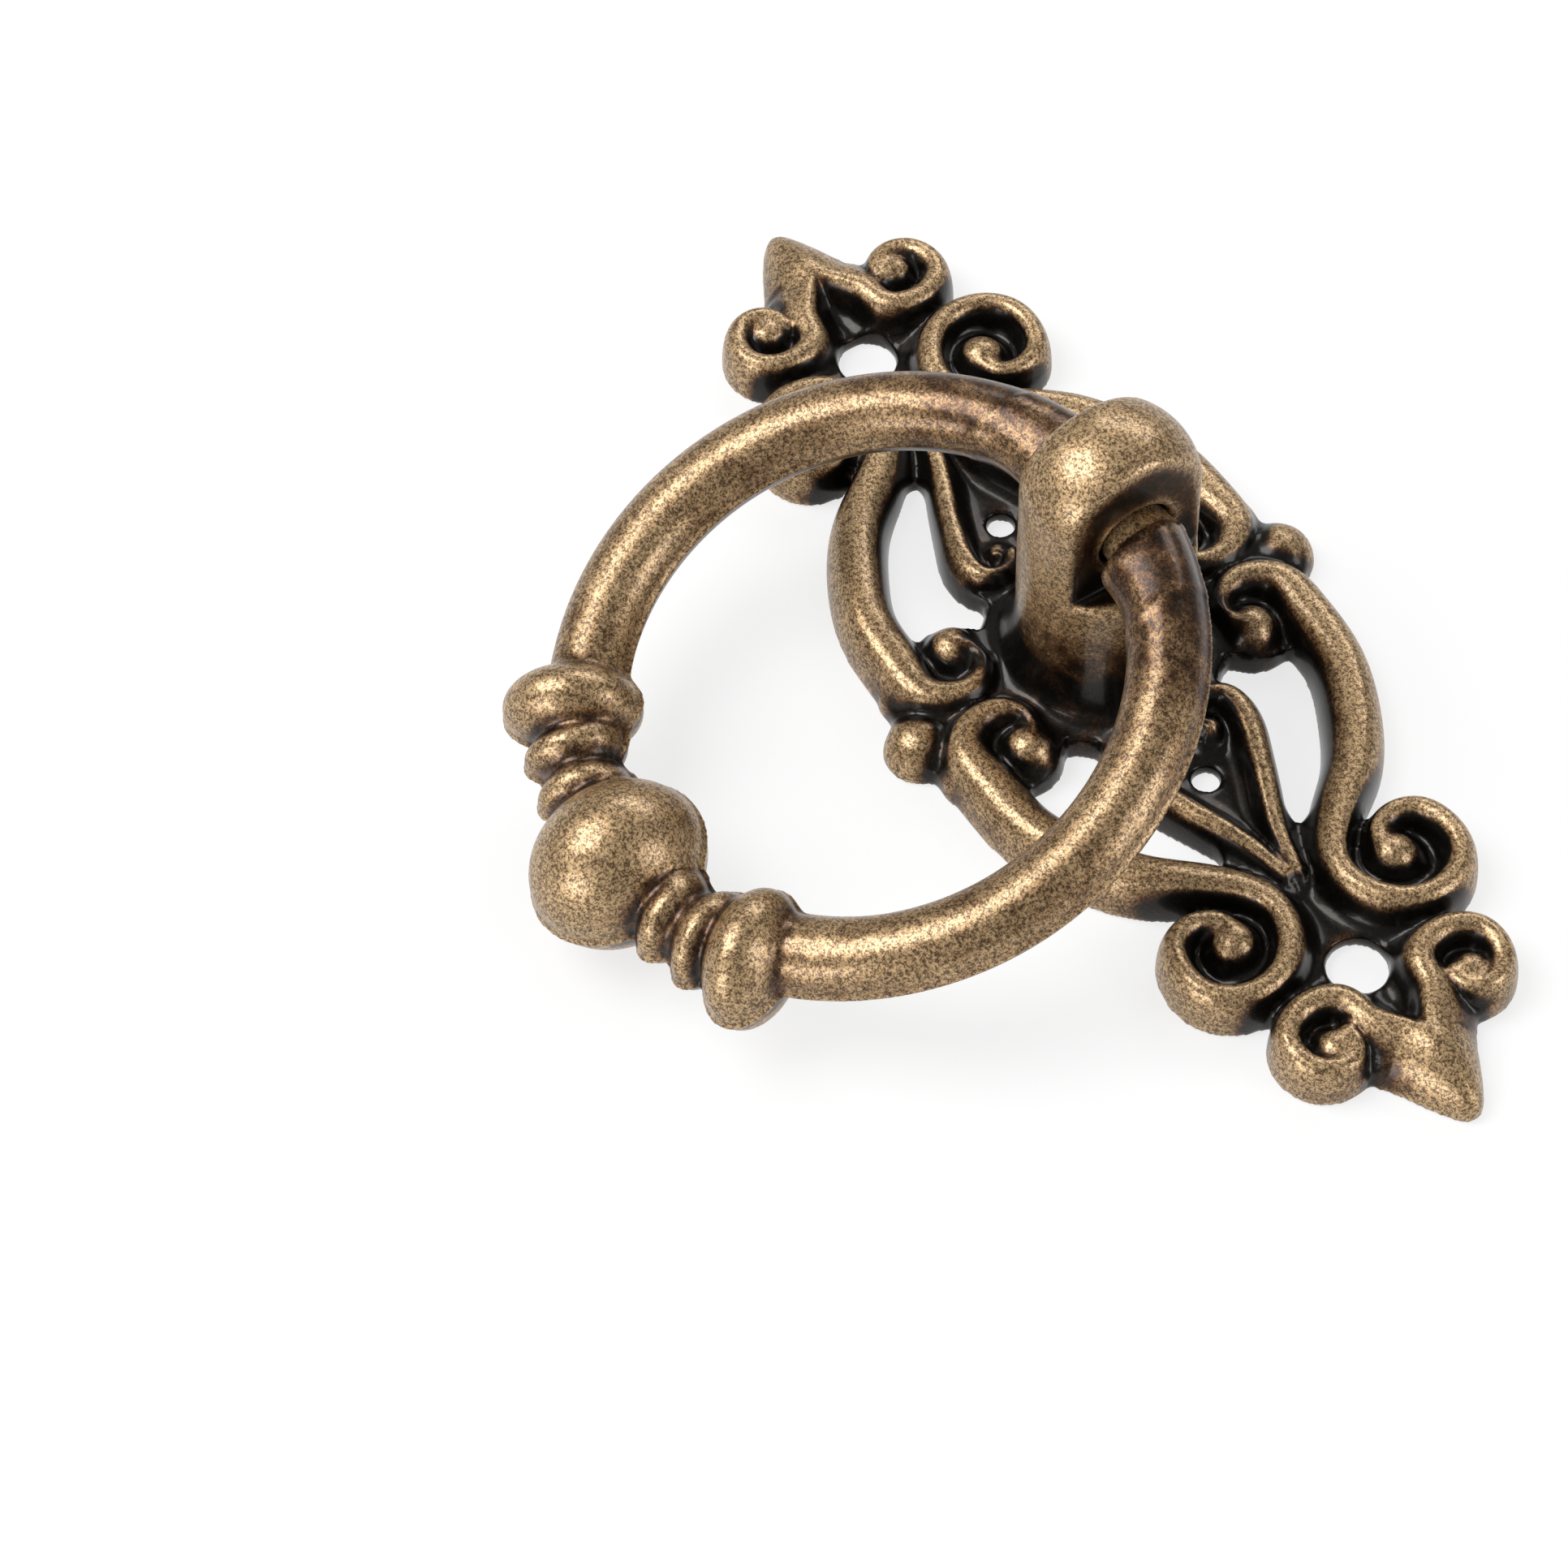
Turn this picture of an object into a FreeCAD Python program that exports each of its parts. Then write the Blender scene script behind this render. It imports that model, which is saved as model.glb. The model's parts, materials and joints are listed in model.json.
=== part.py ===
import FreeCAD, Part
import math
import os

from FreeCAD import Vector

# Ring pull handle: a cast scroll plate with a round post, and a beaded ring that swings on the post.
# Millimetres. The back of the plate lies on z = 0 with the origin at its centre, X runs along the
# plate, and the ring hangs towards -Y with its big ball resting on the surface behind the plate.

# Plate
hole_spacing = 72.0
screw_hole_diameter = 5.0
web_thickness = 1.3
scroll_floor_thickness = 1.6
ridge_height = 4.5
ridge_end_height = 0.9 * ridge_height
station_turn = 43
web_corner = Vector(-5.0, -3.5, 0)
web_notch_from_scroll = 8.55
nub_reach = 20.8
nub_radius = 3.0
nub_height = 3.2
channel_half_width = 1.7
channel_height = 2.1

# Leaves, at both tips of the plate. Each half is the wide root of a small scroll's ridge. The rows run
# from the tip inwards: share of the length, then the crest's distance from the middle line, the half
# widths on its inner and outer side, and the height.
crotch_from_hole = 7.5
leaf_length = 8.2
leaf_rows = (
    (1.0, 0.0, 0.65, 0.75, 1.4),
    (0.92, 0.0, 1.2, 1.65, 2.3),
    (0.7, 0.08, 1.4, 2.65, 3.3),
    (0.4, 0.25, 1.3, 3.5, 4.0),
    (0.15, 0.5, 1.2, 3.8, 4.4),
    (0.02, 0.9, 1.2, 3.2, 4.5),
    (-0.14, 2.0, 1.9, 2.0, 4.5),
    (-0.29, 2.9, 1.9, 1.5, 4.5),
)

# Arms, from the centre scrolls to the large scrolls. The rows give the share of the way, how far the
# arm bows out there and its outer half width.
arm_inner_half_width = 2.8
arm_outer_half_width = 2.3
arm_rows = ((0.19, 2.2, 2.3), (0.4, 2.85, 2.4), (0.6, 2.45, 2.2), (0.8, 0.8, 1.5))
tail_half_width = 0.9

# Centre scrolls, beside the post
centre_scroll_x = 4.5
centre_scroll_y = 11.7
centre_scroll_radius = 4.55
centre_tail_radius = 2.0
centre_turn = (279, 64)
centre_ball_radius = 2.85
centre_ball_height = 4.3
centre_ball_offset = Vector(1.2, -0.8, 0)
centre_floor_radius = 3.65
centre_floor_offset = Vector(0.3, 0.4, 0)

# Large scrolls, between the arms and the screw holes
large_scroll_from_hole = 6.05
large_scroll_y = 9.15
large_scroll_radius = 5.95
large_middle_radius = 3.6
large_tail_radius = 2.75
large_tail_shift = Vector(-0.25, 0.1, 0)
large_turn = (258, 450, 570)
large_inner_half_width = 1.3
large_outer_half_width = 2.0
large_middle_half_width = 1.4
large_tail_half_width = 0.95
large_tail_inner_half_width = 1.5
large_eye_radius = 2.6
large_eye_height = 4.4
large_eye_offset = Vector(-0.05, -1.45, 0)
large_floor_radius = 4.65
large_floor_offset = Vector(0.4, -0.6, 0)

# Small scrolls, outside the screw holes
small_scroll_from_hole = 5.4
small_scroll_y = 6.3
small_scroll_radius = 3.65
small_tail_radius = 2.0
small_turn = (-134, -235, -388)
small_inner_half_width = 1.45
small_outer_half_width = 1.75
small_middle_half_width = 1.3
small_tail_half_width = 1.2
small_tail_inner_half_width = 1.5
small_eye_radius = 2.2
small_eye_height = 4.1
small_eye_offset = Vector(0.45, 0.15, 0)
small_floor_radius = 3.5
small_floor_offset = Vector(-0.2, -0.35, 0)

# Bars that make a V on each side of the post. The rows give the share of the way, how far the bar bows
# out there and how much of its full width and height is left.
bar_half_width = 1.8
bar_inner_half_width = 1.4
bar_height = 4.2
bar_spread = 5.3
bar_start = 9.5
bar_length = 17.0
bar_end_spread = 0.5
bar_turn = (250, 80)
bar_rows = ((0.25, 0.35, 0.94), (0.5, 0.0, 0.88), (0.75, -0.35, 0.81), (1.0, 0.0, 0.75))
bar_ball_radius = 1.35
bar_ball_height = 3.4
bar_ball_offset = Vector(0.6, -1.0, 0)
pocket_hole_radius = 1.15
pocket_hole_from_start = 5.6

# Post
post_radius = 7.2
post_height = 30.4
post_dome_height = 6.4
flange_radius = 9.8
flange_height = 2.4
flange_rise = 6.6
flare_bend = 0.65
hub_web_radius = 9.9
tongue_thickness = 7.6
tongue_edge_radius = 1.3
ledge_height = 16.4
pivot_height = 21.1
pivot_hole_diameter = 6.3

# Ring
ring_radius = 23.6
hoop_radius = 3.2
pivot_to_ring_centre = 23.1
pin_clearance = 0.2
pin_reach = 2.6
pin_tip_radius = 0.8
end_gap = 1.2
end_reach = 4.4
end_thickness = 6.1
end_corner = 0.9
foot_length = 6.5
foot_overlap = 0.9
ball_radius = 7.35
ball_half_length = 6.15
bead_radius = 5.65
bead_half_length = 3.35
bead_angle = 33.8
bead_offset = 1.1
inner_collar_radius = 3.75
inner_collar_angle = 16.4
outer_collar_radius = 4.1
outer_collar_angle = 24.3
collar_half_length = 0.95
waist_radius = 2.6
waist_groove_radius = 2.0

# Sizes that follow from the ones above
hole_x = hole_spacing / 2
crotch_x = hole_x + crotch_from_hole
centre_scroll = Vector(centre_scroll_x, centre_scroll_y, 0)
large_scroll = Vector(hole_x - large_scroll_from_hole, large_scroll_y, 0)
small_scroll = Vector(hole_x + small_scroll_from_hole, small_scroll_y, 0)
pin_radius = pivot_hole_diameter / 2 - pin_clearance
end_face_x = tongue_thickness / 2 + end_gap
ring_centre = Vector(0, -pivot_to_ring_centre, 0)
ring_reach = pivot_to_ring_centre + ring_radius + bead_offset
rest_tilt = math.degrees(math.asin((pivot_height - ball_radius) / ring_reach))

# Share of a quarter circle's radius that its Bezier handles take, and a length too small to matter
QUARTER_HANDLE = 0.5523
TINY = 0.001


def polar(centre, radius, angle):
    """Point at a distance and an angle in degrees from a centre, in the plane of the plate."""
    turn = math.radians(angle)
    return centre + Vector(radius * math.cos(turn), radius * math.sin(turn), 0)


def blend(first, last, share):
    """Number a share of the way from the first to the last."""
    return first + (last - first) * share


def crown(left, right, height):
    """Poles of the two quarter ellipses of a ridge: up from its left foot, then down to its right."""
    bend = 1 - QUARTER_HANDLE
    rise = [(left, 0), (left, height * QUARTER_HANDLE), (left * bend, height), (0, height)]
    fall = [(0, height), (-right * bend, height), (-right, height * QUARTER_HANDLE), (-right, 0)]
    return rise, fall


def bezier(points):
    """Edge of a Bezier curve with these poles."""
    curve = Part.BezierCurve()
    curve.setPoles(points)
    return curve.toShape()


def ridge_section(point, tangent, left, right, height):
    """Closed section of a ridge, square to its crest line, standing on the back of the plate."""
    across = Vector(-tangent.y, tangent.x, 0).normalize()
    edges = []
    for poles in crown(left, right, height):
        edges.append(bezier([point + across * side + Vector(0, 0, rise) for side, rise in poles]))
    edges.append(Part.makeLine(point - across * right, point + across * left))
    return Part.Wire(edges)


def ridge(stations):
    """Cast ridge with its crest over a smooth line. A station is a point, two half widths and a height."""
    crest = Part.BSplineCurve()
    crest.interpolate([station[0] for station in stations])
    sections = []
    for point, left, right, height in stations:
        tangent = crest.tangent(crest.parameter(point))[0]
        sections.append(ridge_section(point, tangent, left, right, height))
    return Part.makeLoft(sections, True)


def volute(centre, radii, angles, widths, heights):
    """Stations of a scroll: the radius, half widths and height change evenly with the angle."""
    stations = []
    steps = math.ceil(abs(angles[1] - angles[0]) / station_turn)
    for step in range(steps + 1):
        share = step / steps
        point = polar(centre, blend(*radii, share), blend(*angles, share))
        left = blend(widths[0][0], widths[1][0], share)
        right = blend(widths[0][1], widths[1][1], share)
        stations.append((point, left, right, blend(*heights, share)))
    return stations


def dome(centre, radius, height):
    """Half ellipsoid that stands on the back of the plate."""
    arc = bezier([Vector(-side, 0, up) for side, up in crown(radius, radius, height)[1]])
    foot = Part.makeLine(Vector(radius, 0, 0), Vector(0, 0, 0))
    axis = Part.makeLine(Vector(0, 0, 0), Vector(0, 0, height))
    solid = Part.Face(Part.Wire([arc, foot, axis])).revolve(Vector(0, 0, 0), Vector(0, 0, 1), 360)
    solid.translate(centre)
    return solid


def scroll_floor(centre, radius):
    """Thin round floor between the turns of a scroll."""
    return Part.makeCylinder(radius, scroll_floor_thickness, centre)


def arm():
    """Ridge from a centre scroll along the plate's edge into a large scroll."""
    full = (arm_outer_half_width, arm_inner_half_width)
    middle = (large_middle_half_width, large_middle_half_width)
    near = volute(centre_scroll, (centre_tail_radius, centre_scroll_radius), centre_turn,
                  ((tail_half_width, tail_half_width), full), (ridge_end_height, ridge_height))
    turn = volute(large_scroll, (large_scroll_radius, large_middle_radius), large_turn[:2],
                  ((large_inner_half_width, large_outer_half_width), middle), (ridge_height, ridge_height))
    tail = volute(large_scroll + large_tail_shift, (large_middle_radius, large_tail_radius), large_turn[1:],
                  (middle, (large_tail_inner_half_width, large_tail_half_width)),
                  (ridge_height, ridge_end_height))
    first = near[-1][0]
    along = turn[0][0] - first
    square = Vector(-along.y, along.x, 0).normalize()
    between = []
    for share, bow, outer in arm_rows:
        point = first + along * share + square * bow
        between.append((point, outer, arm_inner_half_width, ridge_height))
    return ridge(near + between + turn + tail[1:])


def outer_ridge():
    """Half of a leaf and the ridge that leads from it round into a small scroll."""
    root = [(Vector(crotch_x + leaf_length * share, side, 0), inner, outer, height)
            for share, side, inner, outer, height in leaf_rows]
    middle = (small_middle_half_width, small_inner_half_width)
    turn = volute(small_scroll, (small_scroll_radius, small_scroll_radius), small_turn[:2],
                  ((small_outer_half_width, small_inner_half_width), middle), (ridge_height, ridge_height))
    tail = volute(small_scroll, (small_scroll_radius, small_tail_radius), small_turn[1:],
                  (middle, (small_tail_half_width, small_tail_inner_half_width)),
                  (ridge_height, ridge_end_height))
    return ridge(root + turn + tail[1:])


def bar():
    """One bar of the V, with its end by the post curled round a small ball."""
    curl = Vector(bar_start + bar_half_width, bar_spread - bar_half_width, 0)
    hook = volute(curl, (bar_half_width, bar_half_width), bar_turn,
                  ((tail_half_width, tail_half_width), (bar_half_width, bar_inner_half_width)),
                  (bar_height, bar_height))
    first = hook[-1][0]
    along = Vector(bar_start + bar_length, bar_end_spread, 0) - first
    run = []
    for share, bow, left in bar_rows:
        point = first + along * share + Vector(0, bow, 0)
        run.append((point, bar_half_width * left, bar_inner_half_width * left, bar_height * left))
    return ridge(hook + run).fuse(dome(curl + bar_ball_offset, bar_ball_radius, bar_ball_height))


def plate_quarter():
    """Everything raised in one quarter of the plate."""
    pieces = [
        outer_ridge(),
        bar(),
        dome(centre_scroll + centre_ball_offset, centre_ball_radius, centre_ball_height),
        dome(large_scroll + large_eye_offset, large_eye_radius, large_eye_height),
        dome(small_scroll + small_eye_offset, small_eye_radius, small_eye_height),
        scroll_floor(centre_scroll + centre_floor_offset, centre_floor_radius),
        scroll_floor(large_scroll + large_floor_offset, large_floor_radius),
        scroll_floor(small_scroll + small_floor_offset, small_floor_radius),
    ]
    return arm().fuse(pieces)


def mirrored(shape, normal):
    """The shape with its mirror image in the plane through the origin, joined to it."""
    return shape.fuse(shape.mirror(Vector(0, 0, 0), normal))


def plate_web():
    """Thin web that joins the ridges: between the bars, round the screw holes, to the nubs and the post."""
    outline = [
        Vector(bar_start, 0, 0),
        Vector(bar_start + bar_half_width, bar_spread - bar_half_width, 0),
        Vector(large_scroll.x - web_notch_from_scroll, bar_half_width, 0),
        large_scroll + web_corner,
        large_scroll,
        small_scroll,
        Vector(crotch_x + small_inner_half_width, 0, 0),
    ]
    half = outline + [Vector(point.x, -point.y, 0) for point in reversed(outline[1:-1])]
    end = Part.Face(Part.makePolygon(half + half[:1])).extrude(Vector(0, 0, web_thickness))
    pocket = Vector(bar_start + pocket_hole_from_start, 0, 0)
    end = end.cut(Part.makeCylinder(pocket_hole_radius, web_thickness, pocket))
    reach = nub_reach - nub_radius
    across = Part.makeBox(2 * centre_scroll_x, 2 * reach, web_thickness, Vector(-centre_scroll_x, -reach, 0))
    disc = Part.makeCylinder(hub_web_radius, web_thickness)
    return disc.fuse([across, mirrored(end, Vector(1, 0, 0))])


def nub():
    """Rounded lug in the middle of the plate's edge, with a low spine that runs in towards the post."""
    seat = Vector(0, nub_reach - nub_radius, 0)
    start = Vector(0, post_radius, 0)
    stations = [(start, channel_half_width, channel_half_width, channel_height),
                ((start + seat) / 2, channel_half_width, channel_half_width, channel_height),
                (seat, nub_radius, nub_radius, nub_height)]
    return ridge(stations).fuse(dome(seat, nub_radius, nub_height))


def post_blank():
    """Turned shape of the post before its flats: a flared foot, a straight column and a domed head."""
    shoulder = post_height - post_dome_height
    neck = flange_height + flange_rise
    dome_poles = crown(post_radius, post_radius, post_dome_height)[1]
    edges = [
        Part.makeLine(Vector(0, 0, 0), Vector(flange_radius, 0, 0)),
        Part.makeLine(Vector(flange_radius, 0, 0), Vector(flange_radius, 0, flange_height)),
        bezier([Vector(flange_radius, 0, flange_height),
                Vector(blend(flange_radius, post_radius, flare_bend), 0, flange_height),
                Vector(post_radius, 0, blend(neck, flange_height, flare_bend)),
                Vector(post_radius, 0, neck)]),
        Part.makeLine(Vector(post_radius, 0, neck), Vector(post_radius, 0, shoulder)),
        bezier([Vector(-side, 0, shoulder + up) for side, up in dome_poles]),
        Part.makeLine(Vector(0, 0, post_height), Vector(0, 0, 0)),
    ]
    return Part.Face(Part.Wire(edges)).revolve(Vector(0, 0, 0), Vector(0, 0, 1), 360)


def post():
    """Round post with a flat tongue between two ledges, and the tongue's rims rounded off."""
    solid = post_blank()
    flat_x = tongue_thickness / 2
    deep = 2.2 * post_radius
    for corner_x in (flat_x, -flat_x - post_radius):
        corner = Vector(corner_x, -deep / 2, ledge_height)
        solid = solid.cut(Part.makeBox(post_radius, deep, post_height, corner))
    rims = []
    for edge in solid.Edges:
        box = edge.BoundBox
        on_flat = box.XLength < TINY and abs(abs(box.XMin) - flat_x) < TINY
        if on_flat and box.ZLength > TINY:
            rims.append(edge)
    return solid.makeFillet(tongue_edge_radius, rims)


def backplate():
    """Scroll plate and post in one casting."""
    quarter = plate_quarter()
    box = quarter.BoundBox
    quarter = quarter.common(Part.makeBox(box.XLength, box.YMax, box.ZLength, Vector(box.XMin, 0, 0)))
    half = mirrored(quarter.fuse(nub()), Vector(0, 1, 0))
    whole = mirrored(half, Vector(1, 0, 0)).fuse([plate_web(), post()])
    for side in (-1, 1):
        below = Vector(side * hole_x, 0, -ridge_height)
        whole = whole.cut(Part.makeCylinder(screw_hole_diameter / 2, 3 * ridge_height, below))
    beside = Vector(-2 * post_radius, 0, pivot_height)
    return whole.cut(Part.makeCylinder(pivot_hole_diameter / 2, 4 * post_radius, beside, Vector(1, 0, 0)))


def on_hoop(solid, angle):
    """Moves a solid from the origin, made along X, onto the bar at an angle from the big ball."""
    solid.translate(ring_centre + Vector(0, -ring_radius - bead_offset, 0))
    solid.rotate(ring_centre, Vector(0, 0, 1), angle)
    return solid


def bead(angle, radius, half_length):
    """Bead turned on the bar, an ellipsoid about the bar's line."""
    edges = [bezier([Vector(-along, up, 0) for along, up in poles])
             for poles in crown(half_length, half_length, radius)]
    edges.append(Part.makeLine(Vector(half_length, 0, 0), Vector(-half_length, 0, 0)))
    solid = Part.Face(Part.Wire(edges)).revolve(Vector(0, 0, 0), Vector(1, 0, 0), 360)
    return on_hoop(solid, angle)


def collar(angle, radius):
    """Disc with a round rim on the bar."""
    half = collar_half_length
    left = Vector(-half, radius - half, 0)
    right = Vector(half, radius - half, 0)
    edges = [Part.Arc(left, Vector(0, radius, 0), right).toShape(),
             Part.makeLine(right, Vector(half, 0, 0)),
             Part.makeLine(Vector(half, 0, 0), Vector(-half, 0, 0)),
             Part.makeLine(Vector(-half, 0, 0), left)]
    return on_hoop(Part.Face(Part.Wire(edges)).revolve(Vector(0, 0, 0), Vector(1, 0, 0), 360), angle)


def waist(angle):
    """What the narrow waist between two collars takes away from the bar."""
    middle = waist_radius + waist_groove_radius
    return on_hoop(Part.makeTorus(middle, waist_groove_radius, Vector(0, 0, 0), Vector(1, 0, 0)), angle)


def hoop_edge(radius, x):
    """Where a circle about the ring's centre crosses a line at x, on the pivot's side."""
    return math.sqrt(radius ** 2 - x ** 2) - pivot_to_ring_centre


def end_section(x, inset):
    """Section of a ring end, square to X: oval, from the hoop's outer edge down to its inner edge or foot."""
    outer = hoop_edge(ring_radius + hoop_radius, x) - inset
    inner = min(hoop_edge(ring_radius - hoop_radius, x), -end_reach) + inset
    share = min((x - end_face_x) / foot_length, 1)
    half_thickness = blend(end_thickness / 2, hoop_radius, share) - inset
    half_width = (outer - inner) / 2
    edges = []
    for turn in (1, -1):
        for poles in crown(half_width, half_width, half_thickness):
            middle = (outer + inner) / 2
            edges.append(bezier([Vector(x, middle + side * turn, up * turn) for side, up in poles]))
    return Part.Wire(edges)


def ring_end():
    """End of the ring on the +X side: the bar widens inwards to a flat foot that carries a short pin."""
    stations = []
    for turn in (0, math.pi / 4, math.pi / 2):
        stations.append((end_corner * (1 - math.cos(turn)), end_corner * (1 - math.sin(turn))))
    stations += [(blend(end_corner, foot_length, step / 3), 0) for step in (1, 2, 3)]
    foot = Part.makeLoft([end_section(end_face_x + along, inset) for along, inset in stations], True)
    tip_x = end_face_x - end_gap - pin_reach
    pin = Part.makeCylinder(pin_radius, end_face_x + end_corner - tip_x, Vector(tip_x, 0, 0), Vector(1, 0, 0))
    tip = [edge for edge in pin.Edges if edge.BoundBox.XMax < tip_x + TINY]
    return foot.fuse(pin.makeFillet(pin_tip_radius, tip))


def hoop():
    """The plain round bar, from one ring end round to the other."""
    opening = math.degrees(math.asin((end_face_x + foot_length * foot_overlap) / ring_radius))
    start = ring_centre + Vector(0, ring_radius, 0)
    section = Part.Wire(Part.makeCircle(hoop_radius, start, Vector(-1, 0, 0)))
    section.rotate(ring_centre, Vector(0, 0, 1), -opening)
    solid = Part.Face(section).revolve(ring_centre, Vector(0, 0, -1), 360 - 2 * opening)
    middle = (inner_collar_angle + outer_collar_angle) / 2
    return solid.cut([waist(middle), waist(-middle)])


def ring():
    """Beaded ring in one casting, laid back until its big ball rests on the surface behind the plate."""
    pieces = [mirrored(ring_end(), Vector(1, 0, 0)), bead(0, ball_radius, ball_half_length)]
    for side in (-1, 1):
        pieces.append(collar(side * inner_collar_angle, inner_collar_radius))
        pieces.append(collar(side * outer_collar_angle, outer_collar_radius))
        pieces.append(bead(side * bead_angle, bead_radius, bead_half_length))
    whole = hoop().fuse(pieces)
    whole.rotate(Vector(0, 0, 0), Vector(1, 0, 0), rest_tilt)
    whole.translate(Vector(0, 0, pivot_height))
    return whole


os.makedirs("parts", exist_ok=True)
for name, build in (("backplate", backplate), ("ring", ring)):
    shape = build()
    shape.exportStep("parts/" + name + ".step")
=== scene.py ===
"""Looks of the ring pull handle: an antiqued cast scroll plate and its beaded ring, on a pale floor."""

import json
import math

import bpy
import numpy as np
from mathutils import Matrix, Vector


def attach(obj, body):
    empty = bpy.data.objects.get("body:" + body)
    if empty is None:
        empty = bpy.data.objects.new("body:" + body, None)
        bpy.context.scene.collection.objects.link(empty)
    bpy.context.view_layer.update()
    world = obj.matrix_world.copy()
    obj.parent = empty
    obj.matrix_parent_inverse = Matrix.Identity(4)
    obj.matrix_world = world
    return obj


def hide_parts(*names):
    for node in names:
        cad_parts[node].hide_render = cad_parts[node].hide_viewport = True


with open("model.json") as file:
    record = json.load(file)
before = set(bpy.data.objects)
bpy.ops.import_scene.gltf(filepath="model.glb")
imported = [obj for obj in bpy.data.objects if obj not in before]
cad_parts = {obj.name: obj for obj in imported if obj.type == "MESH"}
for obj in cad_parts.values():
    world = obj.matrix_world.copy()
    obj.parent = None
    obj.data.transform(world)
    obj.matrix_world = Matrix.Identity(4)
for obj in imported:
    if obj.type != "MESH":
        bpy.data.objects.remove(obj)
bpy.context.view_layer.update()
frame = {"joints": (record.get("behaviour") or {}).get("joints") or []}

# Backplate and post
# One zinc casting with a flat back: ridges that curl into scrolls, joined by a thin web, and a post in
# the middle. The mould leaves no sharp edge, so each form flows into its neighbour through a fillet.

mm = 0.001
plate_step = 0.33
plate_corner = np.array([52.6, 21.4, 31.1])
steps_below = 1.6
relief_top = 7.2
ridge_fillet = 0.6
dome_fillet = 0.5
web_fillet = 1.0
web_join = 1.8
edge_round = 0.5
screw_hole_round = 0.4

hole_x = 36.0
screw_hole_radius = 2.5
web_thickness = 1.3
floor_thickness = 1.6
ridge_height = 4.5
ridge_end_height = 4.05
ridge_power = 2.3
station_turn = 43
centre_scroll = np.array([4.5, 11.7])
large_scroll = np.array([29.95, 9.15])
small_scroll = np.array([41.4, 6.3])
crotch_x = 43.5
leaf_length = 8.2
leaf_count = 76
shared_count = 12
bar_curl = np.array([11.3, 3.5])
bar_meeting = np.array([26.5, 0.5])
nub_seat = np.array([0, 17.8])
spine_half_width = 1.7
spine_height = 2.1
strip_half_width = 4.5
small_hole_x = 15.1
small_hole_radius = 1.15

post_radius = 7.2
post_height = 30.4
post_dome_height = 6.4
flange_radius = 9.8
flange_height = 2.4
flange_rise = 6.6
flare_pull = 0.65
tongue_half = 3.8
ledge_height = 16.4
tongue_bevel = 0.5
pivot_height = frame["joints"][0]["pos_m"][2] / mm
pivot_hole_radius = 3.3


def smooth_least(first, second, reach):
    """The smaller of two fields, less (reach - |first - second|)^2 / (4 reach) where they lie as near as
    the reach."""
    gap = np.maximum(reach - np.abs(first - second), 0)
    return np.minimum(first, second) - gap * gap / (4 * reach)


def smooth_most(first, second, reach):
    """The larger of two fields, with the edge between them rounded in the same way."""
    return -smooth_least(-first, -second, reach)


def volute(centre, radii, angles, widths, heights):
    """Rows of a scroll: x, y, half width on the left, on the right, and height. The radius and the rest
    change evenly with the angle."""
    steps = math.ceil(abs(angles[1] - angles[0]) / station_turn)
    share = np.linspace(0, 1, steps + 1)[:, None]
    radius = radii[0] + (radii[1] - radii[0]) * share
    turn = np.radians(angles[0] + (angles[1] - angles[0]) * share)
    sides = np.array(widths[0]) + (np.array(widths[1]) - np.array(widths[0])) * share
    height = heights[0] + (heights[1] - heights[0]) * share
    return np.hstack([centre[0] + radius * np.cos(turn), centre[1] + radius * np.sin(turn), sides,
                      height])


def smooth_line(rows, count):
    """Cubic pieces through the rows, with no jump in slope or bend and no bend at the two ends. The bends
    come from the usual three-term equations over the distances between neighbours."""
    rows = np.asarray(rows, float)
    chord = np.hypot(*np.diff(rows[:, :2], axis=0).T)
    mark = np.concatenate([[0], np.cumsum(chord)])
    last = len(rows) - 1
    middle = np.arange(1, last)
    system = np.eye(last + 1)
    system[middle, middle - 1] = chord[:-1]
    system[middle, middle] = 2 * (chord[:-1] + chord[1:])
    system[middle, middle + 1] = chord[1:]
    slope = np.diff(rows, axis=0) / chord[:, None]
    jump = np.zeros(rows.shape)
    jump[1:-1] = 6 * np.diff(slope, axis=0)
    bend = np.linalg.solve(system, jump)
    place = np.linspace(0, mark[-1], count)
    index = np.clip(np.searchsorted(mark, place, side="right") - 1, 0, last - 1)
    t = (place - mark[index])[:, None]
    span = chord[index][:, None]
    here, after = bend[index], bend[index + 1]
    return (rows[index] + t * (slope[index] - span * (2 * here + after) / 6)
            + t ** 2 * here / 2 + t ** 3 * (after - here) / (6 * span))


def with_power(rows):
    """The rows with the power of a ridge's plain oval section as their last number."""
    return np.hstack([rows, np.full((len(rows), 1), ridge_power)])


def arm_line():
    """Crest of the ridge from a centre scroll along the plate's edge into a large scroll."""
    near = volute(centre_scroll, (2.0, 4.55), (279, 64), ((0.9, 0.9), (2.3, 2.8)),
                  (ridge_end_height, ridge_height))
    turn = volute(large_scroll, (5.95, 3.6), (258, 450), ((1.5, 2.0), (1.6, 1.4)),
                  (ridge_height, ridge_height))
    tail = volute(large_scroll + [-0.25, 0.1], (3.6, 2.75), (450, 570), ((1.6, 1.4), (1.7, 1.1)),
                  (ridge_height, ridge_end_height))
    end = volute(large_scroll + [-0.25, 0.1], (2.75, 2.0), (570, 635), ((1.7, 1.1), (1.2, 1.2)),
                 (ridge_end_height, ridge_end_height))
    along = turn[0, :2] - near[-1, :2]
    square = np.array([-along[1], along[0]]) / np.hypot(*along)
    between = [[*(near[-1, :2] + along * share + square * bow), outer, 2.8, ridge_height]
               for share, bow, outer in (
                   (0.19, 2.2, 2.3), (0.4, 2.85, 2.4), (0.6, 2.45, 2.2), (0.8, 0.8, 1.5))]
    return smooth_line(with_power(np.concatenate([near, between, turn, tail[1:], end[1:]])), 180)


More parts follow.
